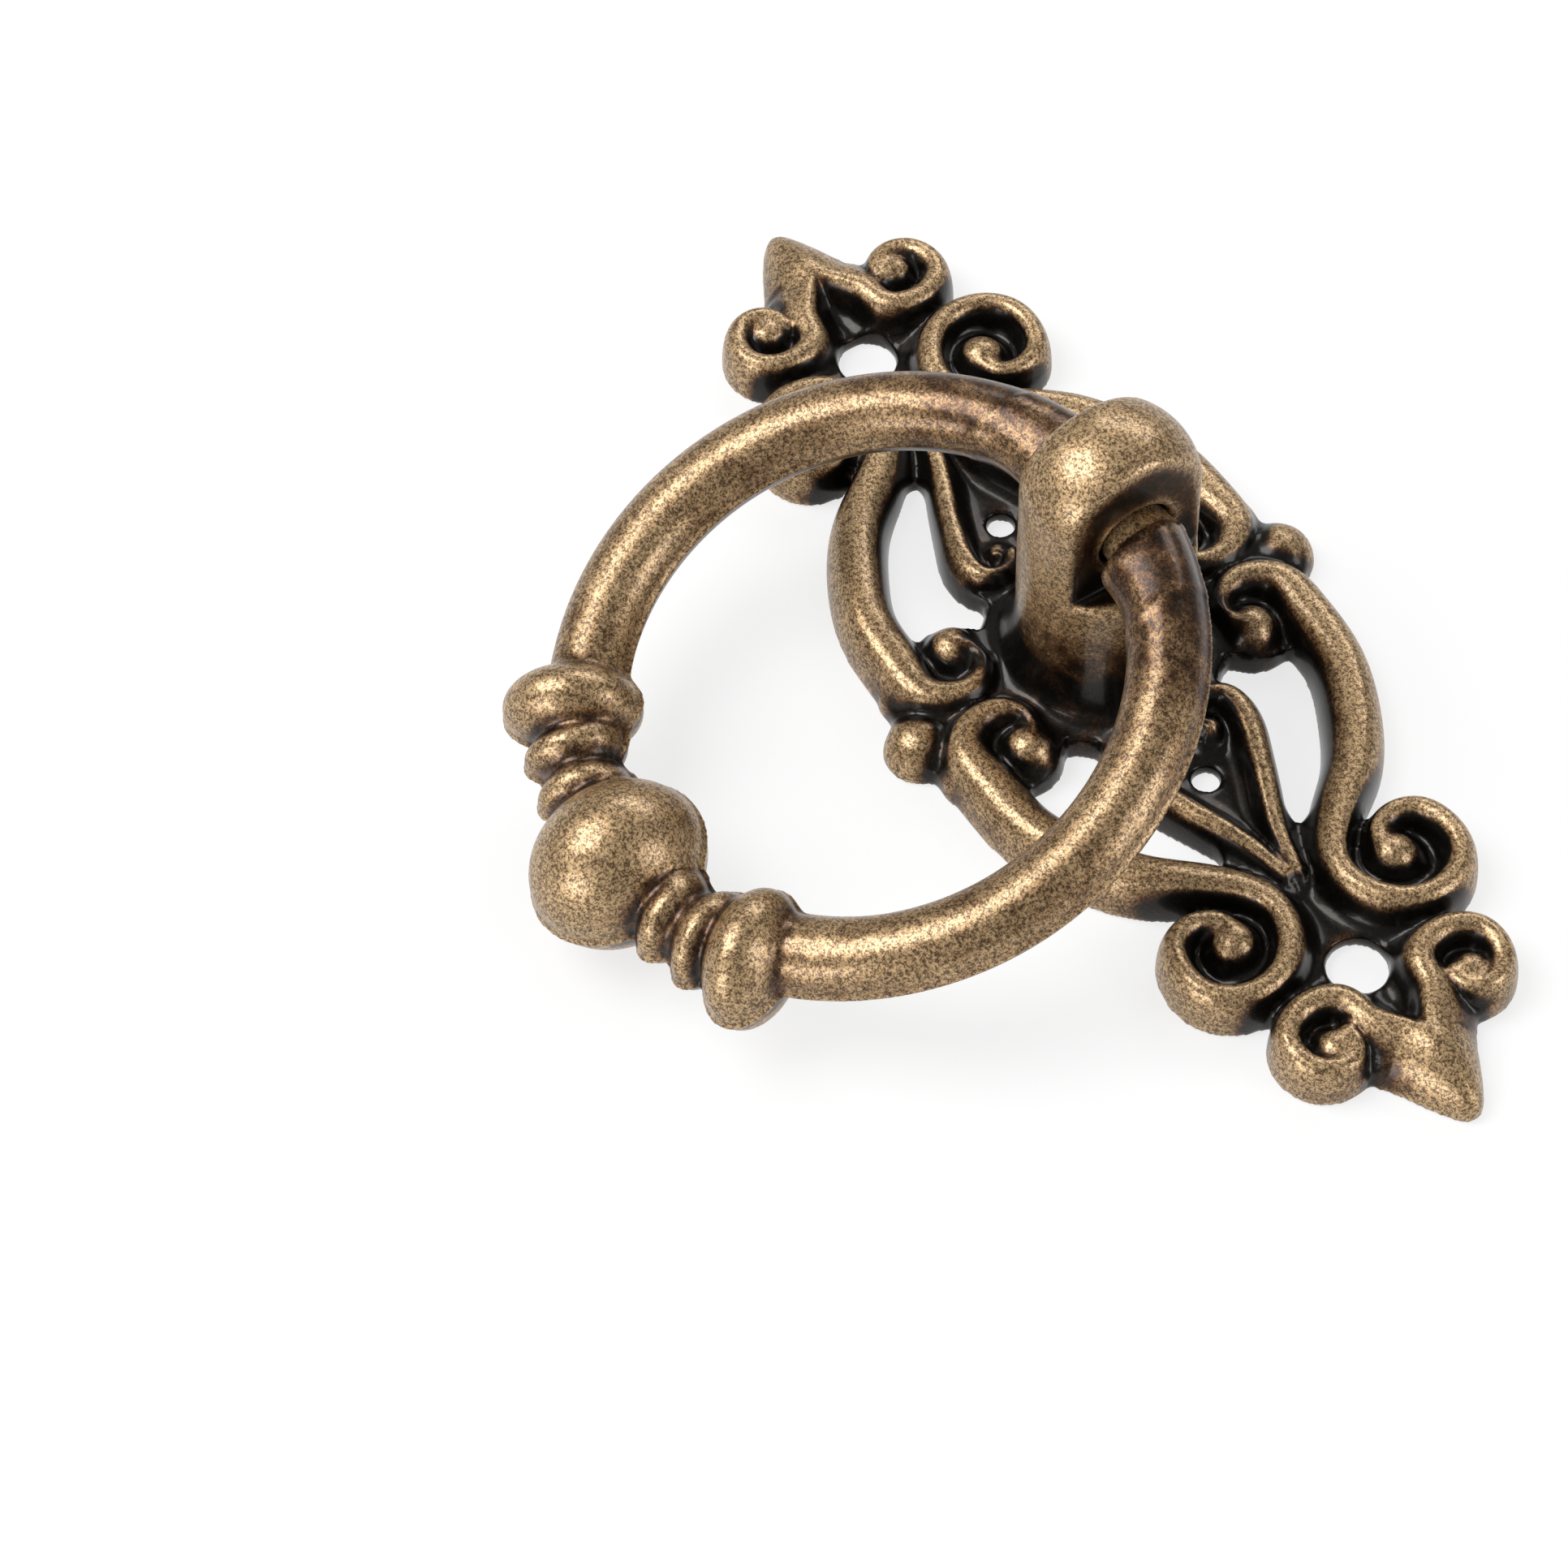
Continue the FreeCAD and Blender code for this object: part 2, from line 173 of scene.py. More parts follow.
def outer_line():
    """Crest of half a leaf, from its tip inwards, and of the ridge that it leads into, round a small
    scroll."""
    leaf = [[crotch_x + leaf_length * share, side, inner, outer, height, power]
            for share, side, inner, outer, height, power in (
                (0.97, 0.0, 0.6, 0.6, 1.7, 2.0),
                (0.92, 0.0, 1.05, 1.05, 2.2, 2.0),
                (0.84, 0.0, 1.55, 1.55, 2.7, 1.9),
                (0.72, 0.0, 2.2, 2.2, 3.2, 1.8),
                (0.58, 0.0, 2.85, 2.85, 3.7, 1.7),
                (0.4, 0.05, 3.5, 3.6, 4.2, 1.65),
                (0.18, 0.3, 2.6, 4.2, 4.5, 1.6),
                (0.02, 0.9, 1.8, 4.1, 4.5, 1.6),
                (-0.14, 2.0, 1.8, 4.0, 4.5, 1.7),
                (-0.29, 2.9, 1.9, 2.7, 4.5, 2.0),
            )]
    turn = volute(small_scroll, (3.65, 3.65), (-134, -235), ((1.85, 1.8), (1.4, 1.7)),
                  (ridge_height, ridge_height))
    tail = volute(small_scroll, (3.65, 2.0), (-235, -388), ((1.4, 1.7), (1.2, 1.7)),
                  (ridge_height, ridge_end_height))
    end = volute(small_scroll, (2.0, 1.3), (-388, -450), ((1.2, 1.7), (1.2, 1.2)),
                 (ridge_end_height, ridge_end_height))
    scroll = with_power(np.concatenate([turn, tail[1:], end[1:]]))
    return smooth_line(np.concatenate([leaf, scroll]), 140)


def bar_line():
    """Crest of one bar of the V, from its curled end by the post to where it meets its twin."""
    hook = volute(bar_curl, (1.8, 1.8), (250, 80), ((0.9, 0.9), (1.8, 1.4)), (4.2, 4.2))
    along = bar_meeting - hook[-1, :2]
    run = [[*(hook[-1, :2] + along * share + [0, bow]), 1.8 * left, 1.4 * left, 4.2 * left]
           for share, bow, left in (
               (0.25, 0.35, 0.94), (0.5, 0.0, 0.88), (0.75, -0.35, 0.81), (1.0, 0.0, 0.75))]
    return smooth_line(with_power(np.concatenate([hook, run])), 80)


def nub_line():
    """Crest of the low spine that runs out from the post to the lug in the middle of the plate's edge."""
    spine = [spine_half_width, spine_half_width, spine_height]
    rows = np.array([[0, post_radius, *spine], [0, 12.5, *spine], [*nub_seat, 2.65, 2.65, 3.2]])
    return smooth_line(with_power(rows), 20)


def oval_field(across, up, half_width, height, power=2.0):
    """Nearly the distance to an oval: with k = ((across / half width)^p + (up / height)^p)^(1/p), which is
    1 on the oval, it is (k - 1) over the steepness of k."""
    wide = np.abs(across) / half_width + 1e-6
    tall = np.abs(up) / height + 1e-6
    ratio = (wide ** power + tall ** power) ** (1 / power)
    slope = np.hypot(wide ** (power - 1) / half_width, tall ** (power - 1) / height)
    return (ratio - 1) / (ratio ** (1 - power) * slope)


def ridge_field(x, y, z, line):
    """Ridge with a half-oval section along a crest line: each point takes the nearest place on the line,
    and the half width of its own side there. The section's power runs from near 1, a roof, to over 2."""
    start = line[:-1]
    step = np.diff(line[:, :2], axis=0)
    over_x = x[..., None] - start[:, 0]
    over_y = y[..., None] - start[:, 1]
    along = np.clip((over_x * step[:, 0] + over_y * step[:, 1]) / (step ** 2).sum(1), 0, 1)
    distance = np.hypot(over_x - along * step[:, 0], over_y - along * step[:, 1])
    best = distance.argmin(-1)[..., None]
    distance, along, over_x, over_y = (np.take_along_axis(values, best, -1)[..., 0]
                                       for values in (distance, along, over_x, over_y))
    best = best[..., 0]
    place = best + along
    marks = np.arange(len(line))
    is_left = step[best, 0] * over_y > step[best, 1] * over_x
    left, right = (np.interp(place, marks, line[:, column]) for column in (2, 3))
    half_width = np.where(is_left, left, right)
    height, power = (np.interp(place, marks, line[:, column])[..., None] for column in (4, 5))
    return oval_field(distance[..., None], z, half_width[..., None], height, power)


def dome_field(x, y, z, centre, radius, height):
    """Half ellipsoid that stands on the back of the plate."""
    return oval_field(np.hypot(x - centre[0], y - centre[1])[..., None], z, radius, height)


def disc_field(x, y, z, centre, radius, thickness):
    """Flat round disc."""
    return np.maximum(np.hypot(x - centre[0], y - centre[1])[..., None] - radius, z - thickness)


def relief_field(x, y, z):
    """Everything raised that belongs to one quarter of the plate. It also holds a little beyond the
    quarter. The leaf and its scroll are two ridges that share a stretch, so that the leaf's broad side
    runs on beside the scroll's end."""
    field = ridge_field(x, y, z, arm_line())
    outer = outer_line()
    leaf = ridge_field(x, y, z, outer[:leaf_count])
    scroll = ridge_field(x, y, z, outer[leaf_count - shared_count:])
    field = smooth_least(field, np.minimum(leaf, scroll), ridge_fillet)
    field = smooth_least(field, ridge_field(x, y, z, bar_line()), ridge_fillet)
    for centre, radius, height in (
        (centre_scroll + [1.2, -0.8], 2.85, 4.3),
        (large_scroll + [-0.05, -1.45], 2.75, 4.4),
        (small_scroll + [0.45, 0.15], 2.4, 4.1),
        (bar_curl + [0.6, -1.0], 1.35, 3.4),
        (nub_seat, 2.6, 3.2),
    ):
        field = smooth_least(field, dome_field(x, y, z, centre, radius, height), dome_fillet)
    for centre, radius in (
        (centre_scroll + [0.3, 0.4], 3.65),
        (large_scroll + [0.4, -0.6], 4.65),
        (small_scroll + [-0.2, -0.35], 3.5),
    ):
        disc = disc_field(x, y, z, centre, radius, floor_thickness)
        field = smooth_least(field, disc, web_fillet)
    return field


def web_field(x, y, z):
    """Thin web: a flat sheet with a polygon's outline, a disc round the post, a strip to the nubs and the
    two small holes between the bars. A point lies inside the polygon when a line drawn from it along Y
    crosses the sides an odd number of times."""
    outline = np.array([[9.5, 0], bar_curl, [21.4, 1.8], [24.95, 5.65], large_scroll, small_scroll,
                        [45.0, 0]])
    outline = np.concatenate([outline, outline[::-1] * [1, -1]])
    distance = np.full(x.shape, np.inf)
    crossings = np.zeros(x.shape, int)
    for start, end in zip(outline, np.roll(outline, -1, 0)):
        step = end - start
        if not step.any():
            continue
        over_x, over_y = x - start[0], y - start[1]
        along = np.clip((over_x * step[0] + over_y * step[1]) / (step @ step), 0, 1)
        distance = np.minimum(distance, np.hypot(over_x - along * step[0], over_y - along * step[1]))
        if step[0]:
            crossed = (x >= min(start[0], end[0])) & (x < max(start[0], end[0]))
            crossings += crossed & (y < start[1] + over_x * step[1] / step[0])
    flat = np.where(crossings % 2, -distance, distance)
    flat = smooth_least(flat, np.hypot(x, y) - flange_radius - 0.1, web_fillet)
    strip = np.maximum(np.abs(x) - strip_half_width, np.abs(y) - nub_seat[1])
    flat = smooth_least(flat, strip, web_fillet)
    flat = np.maximum(flat, small_hole_radius - np.hypot(x - small_hole_x, y))
    return smooth_most(flat[..., None], z - web_thickness, edge_round)


def post_field(x, y, z):
    """Turned post with a flared foot and a domed head, cut to a flat tongue above its ledges, and its hole
    for the pins. The flare is a curve of the third degree whose two handles lie 0.65 of the way from its
    ends to the corner between post and flange."""
    shoulder = post_height - post_dome_height
    share = np.linspace(0, 1, 40)[:, None]
    handle_radius = flange_radius + (post_radius - flange_radius) * flare_pull
    handle_height = flange_height + flange_rise * (1 - flare_pull)
    corners = np.array([[flange_radius, flange_height], [handle_radius, flange_height],
                        [post_radius, handle_height], [post_radius, flange_height + flange_rise]])
    left = 1 - share
    weights = np.hstack([left ** 3, 3 * share * left ** 2, 3 * share ** 2 * left, share ** 3])
    flare = weights @ corners
    distance = np.hypot(x, y)[..., None]
    slope = np.gradient(flare[:, 0]) / np.gradient(flare[:, 1])
    lean = np.interp(z, flare[:, 1], slope, left=0, right=0)
    column = (distance - np.interp(z, flare[:, 1], flare[:, 0])) / np.hypot(1, lean)
    head = oval_field(distance, np.maximum(z - shoulder, 0), post_radius, post_dome_height)
    blank = np.where(z > shoulder, head, column)
    flats = smooth_least(np.abs(x)[..., None] - tongue_half, z - ledge_height, edge_round)
    field = smooth_most(blank, flats, tongue_bevel)
    pivot_hole = pivot_hole_radius - np.hypot(y[..., None], z - pivot_height)
    return smooth_most(field, pivot_hole, edge_round)


def plate_values(x, y, z):
    """The whole casting's field on a quarter's grid. The relief crosses the two middle planes a little, so
    it is joined with its three mirror images. Above the relief there is only the post."""
    field = post_field(x, y, z)
    low = z < relief_top
    relief = relief_field(x, y, z[low])
    for side_x, side_y in ((1, -1), (-1, 1), (-1, -1)):
        image = relief_field(x * side_x, y * side_y, z[low])
        relief = smooth_least(relief, image, ridge_fillet)
    relief = smooth_least(relief, ridge_field(x, y, z[low], nub_line()), web_fillet)
    relief = smooth_least(relief, web_field(x, y, z[low]), web_join)
    field[:, :, low] = smooth_least(field[:, :, low], relief, web_fillet)
    field = smooth_most(field, x[..., None] - crotch_x - leaf_length, edge_round)
    screw_hole = screw_hole_radius - np.hypot(x - hole_x, y)
    return np.maximum(smooth_most(field, screw_hole[..., None], screw_hole_round), -z)


def unfolded(values, planes):
    """Adds the mirror image of the values over the middle planes across these axes. Each plane's own
    values are the first along its axis, and are kept once."""
    for axis in planes:
        image = np.flip(np.delete(values, 0, axis), axis)
        values = np.concatenate([image, values], axis)
    return values


def skin(values):
    """Surface where the values on a grid cross zero, in steps of the grid. Each crossed cell has one point,
    the mean of the places where the surface crosses its edges. Each crossed grid edge has one face, between
    the four cells round it."""
    inside = values < 0
    cells = np.array(values.shape) - 1
    corners = [(i, j, k) for i in (0, 1) for j in (0, 1) for k in (0, 1)]
    held = [inside[i:cells[0] + i, j:cells[1] + j, k:cells[2] + k] for i, j, k in corners]
    mixed = np.logical_or.reduce(held) & ~np.logical_and.reduce(held)
    cell = np.stack(np.nonzero(mixed), 1)
    number = np.full(mixed.shape, -1)
    number[mixed] = np.arange(len(cell))
    total = np.zeros((len(cell), 3))
    count = np.zeros(len(cell))
    for first in corners:
        for axis in np.nonzero(np.array(first) == 0)[0]:
            second = np.array(first)
            second[axis] = 1
            a = values[tuple((cell + first).T)]
            b = values[tuple((cell + second).T)]
            crossed = (a < 0) != (b < 0)
            place = np.tile(np.array(first, float), (len(cell), 1))
            place[:, axis] = np.where(crossed, a / np.where(crossed, a - b, 1), 0)
            total += place * crossed[:, None]
            count += crossed
    faces = []
    for axis in range(3):
        after, last = (axis + 1) % 3, (axis + 2) % 3
        lower = np.take(inside, range(cells[axis]), axis)
        upper = np.take(inside, range(1, cells[axis] + 1), axis)
        edge = np.stack(np.nonzero(lower != upper), 1)
        edge = edge[(edge[:, after] > 0) & (edge[:, last] > 0)]
        edge = edge[(edge[:, after] < cells[after]) & (edge[:, last] < cells[last])]
        quads = []
        for back_after, back_last in ((1, 1), (0, 1), (0, 0), (1, 0)):
            place = edge.copy()
            place[:, after] -= back_after
            place[:, last] -= back_last
            quads.append(number[tuple(place.T)])
        quads = np.stack(quads, 1)
        outward = lower[tuple(edge.T)]
        quads[~outward] = quads[~outward, ::-1]
        faces.append(quads)
    return cell + total / count[:, None], np.concatenate(faces)


def sample(values, points):
    """Values at points between the grid's corners: each corner counts by its closeness on all three axes.
    Beyond the grid they grow with the distance to it."""
    place = np.clip(points, 0, np.array(values.shape) - 1.001)
    index = place.astype(int)
    share = place - index
    total = np.zeros(len(points))
    for corner in ((i, j, k) for i in (0, 1) for j in (0, 1) for k in (0, 1)):
        weight = np.abs(1 - np.array(corner) - share).prod(1)
        total += weight * values[tuple((index + corner).T)]
    return total + np.linalg.norm(points - place, axis=1)


def standing_out(points, faces, rounds):
    """Normals, and how far each point stands out along its normal from the mean of its surroundings."""
    count = len(points)
    start = faces.ravel()
    end = np.roll(faces, -1, 1).ravel()
    degree = np.bincount(start, minlength=count) + np.bincount(end, minlength=count)

    def neighbours(values):
        return (np.bincount(start, values[end], count) + np.bincount(end, values[start], count)) / degree

    surroundings = points.T
    for _ in range(rounds):
        surroundings = [neighbours(values) for values in surroundings]
    corner = points[faces]
    normal = np.cross(corner[:, 2] - corner[:, 0], corner[:, 3] - corner[:, 1])
    total = np.stack([np.bincount(start, np.repeat(normal[:, axis], 4), count) for axis in range(3)], 1)
    total /= np.maximum(np.linalg.norm(total, axis=1), 1e-12)[:, None]
    stands = ((points - np.stack(surroundings, 1)) * total).sum(1)
    for _ in range(3):
        stands = neighbours(stands)
    return total, stands


def openness(values, points, normals, reaches):
    """How open each point lies: the mean share of a reach that is free along its normal, 0 to 1."""
    shares = [sample(values, points + normals * reach) / reach for reach in reaches]
    return np.clip(shares, 0, 1).mean(0)


def cast_piece(name, points, faces, worn, body, node):
    """Puts points in mm and four-sided faces into a smooth mesh, with each point's wear, together with
    painted light and shade, as an attribute."""
    mesh = bpy.data.meshes.new(name)
    mesh.vertices.add(len(points))
    mesh.vertices.foreach_set("co", (points * mm).astype(np.float32).ravel())
    mesh.loops.add(faces.size)
    mesh.loops.foreach_set("vertex_index", faces.astype(np.int32).ravel())
    mesh.polygons.add(len(faces))
    mesh.polygons.foreach_set("loop_start", np.arange(0, faces.size, 4, dtype=np.int32))
    mesh.update(calc_edges=True)
    mesh.polygons.foreach_set("use_smooth", np.ones(len(faces), bool))
    attribute = mesh.attributes.new("worn", "FLOAT", "POINT")
    attribute.data.foreach_set("value", worn.astype(np.float32))
    made = bpy.data.objects.new(name, mesh)
    bpy.context.scene.collection.objects.link(made)
    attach(made, body)
    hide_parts(node)
    return made


def plate_wear_and_painted_light(points, normals, free, stands):
    """How far the lacquer is taken off the plate, with painted light and shade in the same number: more
    where a point is open, stands out, lies high or faces outwards, and less towards the post, partly a
    painted dark reflection over the plate's middle. On the post it grows with height, its edges are
    brighter, partly a painted highlight, and the flat sides of the tongue stay dark, partly a painted
    shade. The back has one even tone."""
    x, y, z = points.T
    lift = np.clip(z / ridge_height, 0, 1)
    from_axis = np.hypot(x, y)
    on_post = (from_axis < flange_radius) & (z > ridge_height)
    worn = 1.5 * (free - 0.62) + 1.1 * stands + 0.55 * (lift - 0.45)
    worn += 0.16 * normals[:, 1] * np.sign(y)
    # Darker over the middle of the plate: partly a painted dark reflection.
    worn -= 0.25 * np.clip((28 - from_axis) / 16, 0, 1) * ~on_post
    by_the_post = np.clip((flange_radius + 1.5 - from_axis) / 2, 0, 1)
    shoulder = post_height - post_dome_height
    up_the_post = np.clip((z - ridge_height) / (shoulder - ridge_height), 0, 1)
    on_tongue = (z > ledge_height - 0.3) & (np.abs(x) < tongue_half + 0.25)
    on_flat = on_tongue * np.clip((np.abs(normals[:, 0]) - 0.75) / 0.2, 0, 1)
    # On the post: edges that stand out are brighter, partly a painted highlight; the tongue's flat sides
    # are darker, partly a painted shade.
    post_wear_and_painted_light = 0.8 * worn + 1.3 * stands + 0.95 * up_the_post - 0.7 - 0.75 * on_flat
    worn = np.where(on_post, post_wear_and_painted_light, worn - 0.6 * by_the_post)
    return np.clip(np.where(z < 0.01, 0.35, worn), 0, 1)


open_reaches = (4, 8, 16)
counts = np.ceil(plate_corner / plate_step).astype(int)
plate_x, plate_y = np.meshgrid(np.arange(counts[0]) * plate_step, np.arange(counts[1]) * plate_step,
                               indexing="ij")
plate_z = (np.arange(counts[2] + 2) - steps_below) * plate_step
values = unfolded(plate_values(plate_x, plate_y, plate_z), (0, 1))
places, plate_faces = skin(values)
plate_normals, stands = standing_out(places, plate_faces, 6)
free = openness(values / plate_step, places, plate_normals, open_reaches)
plate_points = places * plate_step + [-plate_x[-1, 0], -plate_y[0, -1], plate_z[0]]
plate_points[:, 2] = np.maximum(plate_points[:, 2], 0)
worn = plate_wear_and_painted_light(plate_points, plate_normals, free, stands)
backplate = cast_piece("scroll_plate", plate_points, plate_faces, worn, "backplate_body", "backplate")


class Value:
    """A shader socket that takes part in sums and products, each of which adds one maths node."""

    def __init__(self, tree, socket):
        self.tree = tree
        self.socket = socket

    def maths(self, operation, first, second):
        made = self.tree.nodes.new("ShaderNodeMath")
        made.operation = operation
        for place, value in enumerate((first, second)):
            if isinstance(value, Value):
                self.tree.links.new(value.socket, made.inputs[place])
            else:
                made.inputs[place].default_value = value
        return Value(self.tree, made.outputs[0])

    def __add__(self, other):
        return self.maths("ADD", self, other)

    def __radd__(self, other):
        return self.maths("ADD", other, self)

    def __sub__(self, other):
        return self.maths("SUBTRACT", self, other)

    def __rsub__(self, other):
        return self.maths("SUBTRACT", other, self)

    def __mul__(self, other):
        return self.maths("MULTIPLY", self, other)

    def __rmul__(self, other):
        return self.maths("MULTIPLY", other, self)


class Finish:
    """The nodes of one material, or of the sky, and the one way they are made."""

    def __init__(self, owner):
        owner.use_nodes = True
        self.tree = owner.node_tree
        self.tree.nodes.clear()

    def node(self, kind, settings, inputs, output=0):
        """Adds a node: its settings first, then the values or links of its sockets. Returns one output."""
        made = self.tree.nodes.new(kind)
        for key, value in settings.items():
            if key == "stops":
                ramp = made.color_ramp
                while len(ramp.elements) < len(value):
                    ramp.elements.new(0.5)
                for element, (place, colour) in zip(ramp.elements, value):
                    element.position = place
                    element.color = (*colour, 1)
            else:
                setattr(made, key, value)
        for key, value in inputs.items():
            if isinstance(value, Value):
                self.tree.links.new(value.socket, made.inputs[key])
            else:
                made.inputs[key].default_value = value
        return Value(self.tree, made.outputs[output]) if made.outputs else made

    def noise(self, place, scale, detail, roughness=0.6):
        """Noise at the piece's own places, about 0.3 to 0.7."""
        return self.node("ShaderNodeTexNoise", {},
                         {"Vector": place, "Scale": scale, "Detail": detail, "Roughness": roughness})

    def eased(self, value, low, high):
        """The value's share of the way from a low to a high mark, kept to 0 to 1 and eased at both
        ends."""
        return self.node("ShaderNodeMapRange", {"interpolation_type": "SMOOTHSTEP"},
                         {"Value": value, "From Min": low, "From Max": high})

    def mix(self, share, first, second):
        """Colour a share of the way from the first to the second."""
        return self.node("ShaderNodeMix", {"data_type": "RGBA"}, {0: share, 6: first, 7: second}, 2)


pale_stops = ((0.0, (0.014, 0.011, 0.008)), (0.3, (0.115, 0.050, 0.018)), (0.65, (0.33, 0.20, 0.095)),
              (1.0, (0.56, 0.385, 0.205)))
deep_stops = ((0.0, (0.006, 0.005, 0.004)), (0.3, (0.018, 0.010, 0.006)), (0.65, (0.045, 0.023, 0.010)),
              (1.0, (0.09, 0.05, 0.022)))


def antique_brass(name):
    """Dark lacquer taken back to brass where the casting stands out, by a per-point share that holds wear
    together with painted light and shade. Black-brown in the hollows turns to red-brown and then to dull
    gold, with clouds a few mm wide and a dense dark and light grain in it."""
    material = bpy.data.materials.new(name)
    finish = Finish(material)
    place = finish.node("ShaderNodeTexCoord", {}, {}, 3)
    worn = finish.node("ShaderNodeAttribute", {"attribute_name": "worn"}, {}, 2)
    cloud = finish.noise(place, 170, 3)
    patch = finish.noise(place, 650, 4, 0.65)
    grain = finish.noise(place, 2900, 4, 0.75)
    speck = finish.noise(place, 6500, 2)
    # The share from the attribute is wear with painted light and shade in it, eased with clouds and
    # patches.
    rubbed_and_painted_light = finish.eased(worn + 0.7 * (cloud - 0.5) + 0.7 * (patch - 0.5), 0.02, 0.85)
    light = finish.eased(grain * 0.6 + speck * 0.4, 0.41, 0.6)
    pale = finish.node("ShaderNodeValToRGB", {"stops": pale_stops}, {"Fac": rubbed_and_painted_light})
    deep = finish.node("ShaderNodeValToRGB", {"stops": deep_stops}, {"Fac": rubbed_and_painted_light})
    bump = finish.node("ShaderNodeBump", {},
                       {"Height": grain * 0.5 + patch * 1.2, "Strength": 0.12, "Distance": 0.0002})
    shader = finish.node("ShaderNodeBsdfPrincipled", {},
                         {"Base Color": finish.mix(light, deep, pale), "Metallic": 0.75,
                          "Roughness": 0.3 + 0.1 * rubbed_and_painted_light, "Normal": bump, "Coat Weight": 0.24,
                          "Coat Roughness": 0.12})
    finish.node("ShaderNodeOutputMaterial", {}, {"Surface": shader})
    return material


backplate.data.materials.append(antique_brass("antique_plate"))

# Ring
# A round bar bent to a ring and cast with a big ball, two beads, collars and waists between them. Its two
# ends are wide flat feet with short pins, sprung into the post's cross hole. The mould left a fine line.

ring_step = 0.25
ring_radius = 23.6
bar_radius = 3.2
pivot_to_centre = 23.1
bead_offset = 1.1
ball_radius = 7.35
ball_half_length = 6.15
bead_half_length = 3.35
bead_radius = 5.65
bead_angle = 33.8
collars = ((16.4, 3.75), (24.3, 4.1))
collar_half_length = 1.9
groove_angle = 20.35
groove_radius = 2.0
groove_seat = 4.6
pin_radius = 2.85
pin_tip_x = 1.2
end_face_x = 5.0
end_round = 0.6
end_reach = 4.4
end_half_thickness = 3.05
foot_length = 6.5
foot_overlap = 0.9
foot_power = 2.3
mould_line_height = 0.3
mould_line_width = 0.33
bead_circle = ring_radius + bead_offset
rest_tilt = math.asin((pivot_height - ball_radius) / (pivot_to_centre + bead_circle))
ring_corner = np.array([28.4, 5.3, 8.0])
ring_low_y = -55.9


def along_bar(x, y, angle):
    """Places measured from a spot on the bar at an angle from the big ball: along the bar, and square to
    it."""
    turn = math.radians(angle)
    out_x, out_y = math.sin(turn), -math.cos(turn)
    from_x = x - out_x * bead_circle
    from_y = y + pivot_to_centre - out_y * bead_circle
    return from_y * out_x - from_x * out_y, from_x * out_x + from_y * out_y


def ring_values(x, y, z):
    """Half of the ring, flat, with the pivot at the origin and the ball towards -Y. The bar is a circle of
    its radius carried round the ring, a bead an ellipsoid, a collar a thin ellipsoid, a waist what a round
    groove leaves, and the foot an oval that grows from the bar's section to the end face. The mould line
    is a fine swelling of the height exp(-(z / width)^2) round the outside and inside of the ring."""
    outward = np.hypot(x, y + pivot_to_centre) - ring_radius
    bar = np.hypot(outward, z) - bar_radius
    beyond_bar = end_face_x + foot_length * foot_overlap - x
    bar = smooth_most(bar, np.where(y > -pivot_to_centre, beyond_bar, -9), 0.3)
    along, across = along_bar(x, y, groove_angle)
    groove = groove_radius - np.hypot(np.hypot(across, z) - groove_seat, along)
    bar = smooth_most(bar, groove, 0.9)
    for angle, half_length, radius, fillet in (
        *((angle, collar_half_length, radius, 1.2) for angle, radius in collars),
        (0, ball_half_length, ball_radius - 0.02, 0.6),
        (bead_angle, bead_half_length, bead_radius, 0.6),
    ):
        along, across = along_bar(x, y, angle)
        bar = smooth_least(bar, oval_field(along, np.hypot(across, z), half_length, radius), fillet)

    reach = np.clip((x - end_face_x) / foot_length, 0, 1)
    foot_x = end_face_x + foot_length * reach
    outer = np.sqrt((ring_radius + bar_radius) ** 2 - foot_x ** 2) - pivot_to_centre
    inner = np.sqrt((ring_radius - bar_radius) ** 2 - foot_x ** 2) - pivot_to_centre
    inner = smooth_least(inner, np.full(x.shape, -end_reach), 1.0)
    half_thickness = end_half_thickness + (bar_radius - end_half_thickness) * reach
    foot = oval_field(y - (outer + inner) / 2, z, (outer - inner) / 2, half_thickness, foot_power)
    foot = smooth_most(foot, end_face_x - x, end_round)
    foot = smooth_most(foot, x - end_face_x - foot_length, 0.3)
    field = smooth_least(bar, foot, 0.25)

    pin = smooth_most(np.hypot(y, z) - pin_radius, pin_tip_x - x, 1.0)
    pin = np.maximum(pin, x - end_face_x - end_round)
    field = smooth_least(field, pin, 0.35)
    inward = -outward * np.clip((-y - 8) / 10, 0, 1)
    near_side = np.clip(np.maximum(outward, inward) / bar_radius, 0, 1)
    return field - mould_line_height * near_side * np.exp(-(z / mould_line_width) ** 2)


def ring_wear_and_painted_light(points, normals, free, stands):
    """How far the lacquer is taken off the flat ring, with painted light and shade in the same number: more
    where a point is open, stands out or lies on a bead, and less by the post, a painted shade, and in a
    band under the mould line, a painted dark reflection. The pins are painted bright: a painted highlight."""
    x, y, z = points.T
    outward = np.hypot(x, y + pivot_to_centre) - ring_radius
    above_bar = np.hypot(outward, z) - bar_radius
    # Darker by the post: a painted shade.
    by_the_post = np.clip(1 + y / 14, 0, 1)
    worn = 0.58 + 0.55 * (free - 0.93) + 0.6 * stands + 0.06 * above_bar - 0.38 * by_the_post
    # A dark band under the mould line: a painted dark reflection.
    worn -= 0.35 * np.exp(-((z + 0.8) / 0.5) ** 2) * (np.abs(normals[:, 2]) < 0.6)
    # The pins are set bright: a painted highlight.
    return np.clip(np.where(np.abs(x) < end_face_x - 0.1, 0.95, worn), 0, 1)


